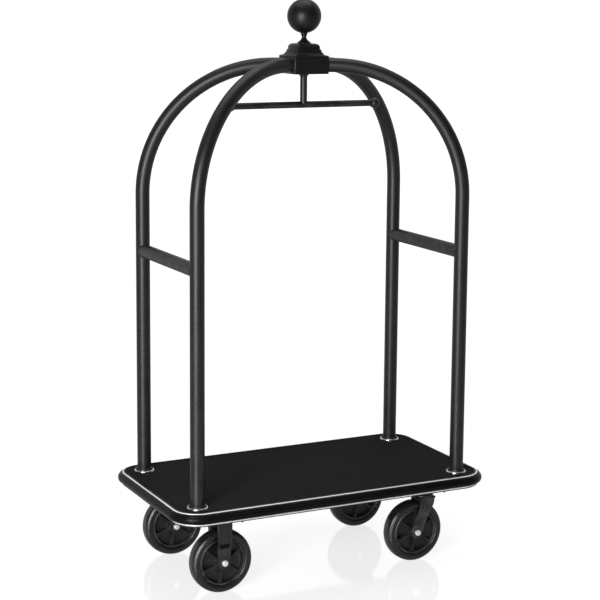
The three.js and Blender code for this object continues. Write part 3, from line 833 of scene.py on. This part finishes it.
# a leg's upper part: a web with its two edges folded outwards, tapering from bottom to top
def foldedChannel(bm, bottom, top, zBottom, zTop, side, depth, fold=0.0038):
    inner, outer = caster["legInner"], caster["legOuter"]

    def section(ends):
        x0, x1 = ends
        return [
            (x0, inner), (x1, inner), (x1, outer + depth), (x1 - fold, outer + depth),
            (x1 - fold, outer), (x0 + fold, outer), (x0 + fold, outer + depth), (x0, outer + depth),
        ]

    part = bmesh.new()
    loops = [
        [part.verts.new((x, y, z)) for x, y in section(ends)]
        for ends, z in ((bottom, zBottom), (top, zTop))
    ]
    edges = [part.edges.new((loop[i - 1], loop[i])) for loop in loops for i in range(8)]
    bmesh.ops.bridge_loops(part, edges=edges)
    bmesh.ops.holes_fill(part, edges=[e for e in part.edges if e.is_boundary])
    bmesh.ops.recalc_face_normals(part, faces=part.faces)

    def rises(e):
        return abs(e.verts[0].co.z - e.verts[1].co.z) > 0.01

    soften(part, 0.0048, 5, 50, lambda e: rises(e) and abs(e.verts[0].co.y - inner) < 1e-5)
    soften(part, 0.0016, 3, 50, lambda e: rises(e) and abs(e.verts[0].co.y - outer) < 1e-5)
    bmesh.ops.bisect_plane(part, geom=part.verts[:] + part.edges[:] + part.faces[:], clear_outer=True,
                           dist=1e-6, plane_co=(0, outer + 0.0002, zBottom),
                           plane_no=Vector((0, 1, -0.8)).normalized())
    bmesh.ops.holes_fill(part, edges=[e for e in part.edges if e.is_boundary])
    soften(part, 0.0006, 2, 50)
    if side < 0:
        bmesh.ops.rotate(part, cent=(0, 0, 0), matrix=Matrix.Diagonal((1, -1, 1)), verts=part.verts)
        bmesh.ops.reverse_faces(part, faces=part.faces)
    addPart(bm, part)


def fixedFork(tag):
    axle = axles[tag]
    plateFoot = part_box(f"fixed_fork_{tag}")[1].z - caster["plateThick"]
    bm = bmesh.new()
    addPart(bm, casterPlate(), Matrix.Translation((0, 0, plateFoot - axle.z)))
    legTop = plateFoot - axle.z + 0.0006
    for side in (-1, 1):
        forkLeg(bm, side, [
            (-0.0225, 0.040), (-0.0200, -0.020), (0.0200, -0.020), (0.0225, 0.040), (0.0225, 0.060),
            (-0.0225, 0.060),
        ], [0, 0.0195, 0.0195, 0, 0, 0])
        foldedChannel(bm, (-0.023, 0.023), (-0.023, 0.023), 0.046, legTop, side, 0.0078)
        legWasher(bm, side)
    bmesh.ops.translate(bm, vec=axle, verts=bm.verts)
    makePiece(bm, f"fixedFork_{tag}", "cart", forkPaint, [f"fixed_fork_{tag}"], 40, True)


def swivelFork(tag):
    axle = axles[tag]
    trail = middle(f"king_bolt_{tag}").x - axle.x
    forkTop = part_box(f"swivel_fork_{tag}")[1].z - axle.z - 0.0075
    forkBottom = forkTop - 0.005
    bm = bmesh.new()
    addPart(bm, block((trail - 0.041, -caster["legOuter"], forkBottom),
                      (trail + 0.030, caster["legOuter"], forkTop), 0.0022, 4))
    addPart(bm, turnedPart([
        (0.008, -0.001), (0.0340, -0.001), (0.0340, 0.0030), (0.0332, 0.0050), (0.0315, 0.0064),
        (0.0290, 0.0073), (0.008, 0.0073),
    ], 56, True), Matrix.Translation((trail, 0, forkTop)))
    for side in (-1, 1):
        forkLeg(bm, side, [
            (trail - 0.024, forkTop - 0.001), (trail - 0.026, forkBottom - 0.024), (-0.0200, 0.0060),
            (-0.0195, -0.0195), (0.0195, -0.0195), (0.0200, 0.0060), (trail + 0.016, forkBottom - 0.034),
            (trail + 0.023, forkBottom - 0.018), (trail + 0.027, forkTop - 0.001),
        ], [0.004, 0.008, 0.010, 0.0190, 0.0190, 0.010, 0.010, 0.010, 0.004], caster["legHoles"])
        legWasher(bm, side)
    bmesh.ops.translate(bm, vec=axle, verts=bm.verts)
    makePiece(bm, f"swivelFork_{tag}", bodyOfCaster(tag), forkPaint, [f"swivel_fork_{tag}"],
              40, True)


def swivelPlate(tag):
    low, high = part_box(f"swivel_plate_{tag}")
    centre = (low + high) / 2
    bm = bmesh.new()
    addPart(bm, casterPlate(), Matrix.Translation((0, 0, high.z - caster["plateThick"])))
    addPart(bm, turnedPart([
        (0.008, 0.0), (0.0350, 0.0), (0.0368, 0.0006), (0.0378, 0.0020), (0.0380, 0.0045), (0.0374, 0.0085),
        (0.0376, 0.0105), (0.0380, 0.0120), (0.0380, 0.0146), (0.008, 0.0146),
    ], 56, True), Matrix.Translation((0, 0, low.z)))
    bmesh.ops.translate(bm, vec=(centre.x, centre.y, 0), verts=bm.verts)
    makePiece(bm, f"swivelPlate_{tag}", "cart", forkPaint, [f"swivel_plate_{tag}"], 40, True)


kingBoltSize = {
    "hex": (0.011, 0.0062),              # corner radius and height
    "shank": 0.006,
}


def kingBolt(tag):
    low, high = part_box(f"king_bolt_{tag}")
    centre = (low + high) / 2
    bm = bmesh.new()
    addPart(bm, hexPart(*kingBoltSize["hex"]), along((0, 0, -1), (centre.x, centre.y, low.z + 0.0065)))
    wide = kingBoltSize["shank"]
    shank = turnedPart([
        (0, low.z), (wide - 0.0008, low.z), (wide, low.z + 0.0008), (wide, high.z), (0, high.z),
    ], 24)
    addPart(bm, shank, Matrix.Translation((centre.x, centre.y, 0)))
    makePiece(bm, f"kingBolt_{tag}", bodyOfCaster(tag), zincPlate, [f"king_bolt_{tag}"], 40)


plateBoltSize = {
    "washer": (0.0035, 0.0090, 0.0014),  # bore, rim and thickness
    "hex": (0.0072, 0.0056),             # corner radius and height
    "end": (0.0040, 0.0038),             # radius and length below the head
}


# the four bolt heads and washers that hold a caster to the frame
def plateBolts(tag):
    plate = f"swivel_plate_{tag}" if tag.endswith("R") else f"fixed_fork_{tag}"
    low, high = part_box(plate)
    centre = (low + high) / 2
    seat = high.z - caster["plateThick"]
    wide, long = plateBoltSize["end"]
    bm = bmesh.new()
    for sideX in (-1, 1):
        for sideY in (-1, 1):
            at = (centre.x + sideX * caster["boltX"], centre.y + sideY * caster["boltY"], seat)
            addPart(bm, washer(*plateBoltSize["washer"]), along((0, 0, -1), at))
            addPart(bm, hexPart(*plateBoltSize["hex"]), along((0, 0, -1), (at[0], at[1], seat - 0.0013)))
            end = turnedPart([(0, 0), (wide, 0), (wide, long - 0.0006), (wide - 0.0007, long), (0, long)], 20)
            addPart(bm, end, along((0, 0, -1), (at[0], at[1], seat - 0.0064)))
    makePiece(bm, f"plateBolts_{tag}", "cart", forkPaint, (), 40)


wheel = {
    "tyre": [                            # (radius, half width) in millimetres, bead to crest
        (75.4, 19.6), (76.2, 21.2), (78.2, 22.4), (79.4, 22.5), (80.2, 23.1), (83.0, 23.8), (87.0, 24.0),
        (90.4, 23.8), (91.5, 23.3), (92.1, 22.3), (93.2, 21.9), (95.2, 20.8), (97.0, 18.8), (98.4, 16.0),
        (99.3, 12.4), (99.8, 8.0), (100.0, 3.0),
    ],
    "hub": [                             # (radius, half width) in millimetres, bore to rim
        (6.8, 27.0), (15.0, 27.0), (16.0, 26.0), (16.4, 8.0), (17.6, 5.0), (20.5, 3.4), (63.0, 3.0),
        (66.4, 4.6), (67.8, 8.0), (68.4, 20.0), (69.4, 21.1), (73.6, 21.1), (74.6, 20.2),
    ],
    "ribs": 6,
    "ribTurn": -24,                      # degrees
    "ribSpan": (0.0145, 0.0688),         # from the boss to the rim
    "ribHalf": 0.0022,
    "ribFlare": 0.0085,
}


# both sides of a section, in metres
def bothSides(rows):
    half = [(radius / 1000, across / 1000) for radius, across in rows]
    return [(radius, -across) for radius, across in half] + half[::-1]


def tyre(tag):
    bm = bmesh.new()
    addPart(bm, turnedPart(bothSides(wheel["tyre"]), 112, True), along((0, 1, 0), axles[tag]))
    makePiece(bm, f"tyre_{tag}", f"wheel_{tag}", tyreRubber, [f"wheel_tyre_{tag}"], 50)


# one rib, flared where it meets the boss and the rim
def hubRib(side):
    inner, outer = wheel["ribSpan"]
    place = Matrix.Translation(((inner + outer) / 2, 0, 0))
    part = bmesh.new()
    bmesh.ops.create_cube(part, size=1,
                          matrix=place @ Matrix.Diagonal((outer - inner, 1, 2 * wheel["ribHalf"], 1)))
    lengths = [e for e in part.edges if abs(e.verts[0].co.x - e.verts[1].co.x) > 0.01]
    bmesh.ops.subdivide_edges(part, edges=lengths, cuts=15, use_grid_fill=True)
    for v in part.verts:
        share = (v.co.x - inner) / (outer - inner)
        flare = max(0, 1 - share / 0.3) ** 2 + max(0, (share - 0.72) / 0.28) ** 2
        v.co.z += math.copysign(wheel["ribFlare"] * flare, v.co.z)
        v.co.y = side * (0.0235 - 0.0085 * share if v.co.y > 0 else 0.0015)
    bmesh.ops.recalc_face_normals(part, faces=part.faces)
    return soften(part, 0.0006, 2, 50)


def hub(tag):
    bm = bmesh.new()
    addPart(bm, turnedPart(bothSides(wheel["hub"]), 96, True), along((0, 1, 0)))
    for i in range(wheel["ribs"]):
        turn = math.radians(wheel["ribTurn"]) + 2 * math.pi * i / wheel["ribs"]
        for side in (-1, 1):
            addPart(bm, hubRib(side), Matrix.Rotation(turn, 4, "Y"))
    bmesh.ops.translate(bm, vec=axles[tag], verts=bm.verts)
    makePiece(bm, f"hub_{tag}", f"wheel_{tag}", hubPlastic, [f"wheel_hub_{tag}"], 40)


axleBoltSize = {
    "head": (0.0105, 0.0076),            # corner radius and height
    "nut": (0.0105, 0.0078),
    "shank": 0.006,
}


def axleBolt(tag):
    axle = axles[tag]
    low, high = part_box(f"axle_bolt_{tag}")
    headSide = -1 if abs(low.y - axle.y) < abs(high.y - axle.y) else 1
    face = Vector((0, headSide * (caster["legOuter"] + 0.0009), 0))
    wide = axleBoltSize["shank"]
    bm = bmesh.new()
    addPart(bm, hexPart(*axleBoltSize["head"]), along((0, headSide, 0), axle + face))
    shank = turnedPart([
        (0, low.y), (wide - 0.0008, low.y), (wide, low.y + 0.0008), (wide, high.y - 0.0008),
        (wide - 0.0008, high.y), (0, high.y),
    ], 28)
    addPart(bm, shank, Matrix.Translation((axle.x, 0, axle.z)) @ along((0, 1, 0)))
    makePiece(bm, f"axleBolt_{tag}", bodyOfCaster(tag), zincPlate, [f"axle_bolt_{tag}"], 40)
    bm = bmesh.new()
    addPart(bm, hexPart(*axleBoltSize["nut"]), along((0, -headSide, 0), axle - face))
    makePiece(bm, f"axleNut_{tag}", bodyOfCaster(tag), zincPlate, [f"axle_nut_{tag}"], 40)


for tag in tags:
    if tag.endswith("L"):
        fixedFork(tag)
    else:
        swivelFork(tag)
        swivelPlate(tag)
        kingBolt(tag)
    tyre(tag)
    hub(tag)
    axleBolt(tag)
    plateBolts(tag)
print("casters made")


# finishes of the pieces that stay as they are

kept = {"deck_board": plywood, "under_frame": framePaint}
kept.update({f"post_bolt_{tag}": forkPaint for tag in tags})
for name, material in kept.items():
    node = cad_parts[name]
    node.data.materials.clear()
    node.data.materials.append(material)


# floor, light and camera

studioFloor = {
    "half": 30.0,
    "glow": 0.32,                        # as light on the cart
    "seenGlow": 0.74,                    # as the view sees it
    "pale": 0.3,
    "roughness": 0.07,
}


# a white sweep that mirrors the wheels a little
def paleFloor():
    material, tree, shader = newFinish("paleFloor")
    shader.inputs["Base Color"].default_value = (*[studioFloor["pale"]] * 3, 1)
    shader.inputs["Roughness"].default_value = studioFloor["roughness"]
    shader.inputs["Specular IOR Level"].default_value = 1.0
    shader.inputs["Emission Color"].default_value = (1, 1, 1, 1)
    seen = addNode(tree, "ShaderNodeLightPath").outputs["Is Camera Ray"]
    glow = remap(tree, seen, 0.0, 1.0, studioFloor["glow"], studioFloor["seenGlow"])
    tree.links.new(glow, shader.inputs["Emission Strength"])
    bm = bmesh.new()
    bmesh.ops.create_grid(bm, x_segments=24, y_segments=24, size=studioFloor["half"],
                          matrix=Matrix.Translation((0, 0, -0.0005)))
    mesh = bpy.data.meshes.new("floor")
    bm.to_mesh(mesh)
    bm.free()
    mesh.materials.append(material)
    floor = bpy.data.objects.new("floor", mesh)
    bpy.context.scene.collection.objects.link(floor)


paleFloor()

studio = {
    "wall": (0.449, 0.894, 0.0),         # towards the white wall behind the cart
    "wallLight": 0.62,
    "roomLight": 0.05,
}


# white where it is seen; as light, a white wall behind the cart and a dim room in front
def studioWorld():
    world = bpy.data.worlds.new("studioRoom")
    world.use_nodes = True
    tree = world.node_tree
    backdrop = tree.nodes["Background"]
    backdrop.inputs["Color"].default_value = (1, 1, 1, 1)
    towards = addNode(tree, "ShaderNodeVectorMath", {
        0: addNode(tree, "ShaderNodeTexCoord").outputs["Generated"], 1: studio["wall"],
    }, operation="DOT_PRODUCT")
    wall = remap(tree, towards.outputs["Value"], -0.25, 0.55, studio["roomLight"], studio["wallLight"],
                 interpolation_type="SMOOTHSTEP")
    seen = addNode(tree, "ShaderNodeLightPath").outputs["Is Camera Ray"]
    strength = addNode(tree, "ShaderNodeMath", {0: wall, 1: seen}, operation="MAXIMUM")
    tree.links.new(strength.outputs[0], backdrop.inputs["Strength"])
    bpy.context.scene.world = world


studioWorld()
bpy.context.scene.view_settings.view_transform = "Standard"

lights = {                               # position, aimed at, size, watts
    "stripBox": ((-3.2, -2.8, 1.3), (0, 0, 0.9), (1.0, 2.4), 190),
    "lowBox": ((-2.3, -3.1, 1.9), (-0.3, 0, 0.15), (0.5, 0.5), 40),
    "topBox": ((0.0, 0.2, 4.4), (0, 0, 0.5), (3.2, 2.6), 48),
}
for name, (at, aim, size, watts) in lights.items():
    data = bpy.data.lights.new(name, "AREA")
    data.shape = "RECTANGLE"
    data.size, data.size_y = size
    data.energy = watts
    lamp = bpy.data.objects.new(name, data)
    aimed = (Vector(aim) - Vector(at)).to_track_quat("-Z", "Y")
    lamp.matrix_world = Matrix.Translation(at) @ aimed.to_matrix().to_4x4()
    bpy.context.scene.collection.objects.link(lamp)

view = {
    "at": (-2.374, -4.714, 1.845),
    "yaw": 26.652,                       # degrees from +Y towards +X
    "pitch": 8.981,                      # degrees down
    "roll": 0.472,
    "lens": 99.96,
    "shiftY": -0.08,
}
yaw, pitch, roll = (math.radians(view[key]) for key in ("yaw", "pitch", "roll"))
forward = Vector((math.cos(pitch) * math.sin(yaw), math.cos(pitch) * math.cos(yaw), -math.sin(pitch)))
level = Vector((math.cos(yaw), -math.sin(yaw), 0))
upright = level.cross(forward)
right = math.cos(roll) * level + math.sin(roll) * upright
up = -math.sin(roll) * level + math.cos(roll) * upright
cameraData = bpy.data.cameras.new("studioCamera")
cameraData.lens = view["lens"]
cameraData.sensor_width = 36
cameraData.shift_y = view["shiftY"]
camera = bpy.data.objects.new("studioCamera", cameraData)
camera.matrix_world = Matrix.Translation(view["at"]) @ Matrix((right, up, -forward)).transposed().to_4x4()
bpy.context.scene.collection.objects.link(camera)
bpy.context.scene.camera = camera
print("stage set")
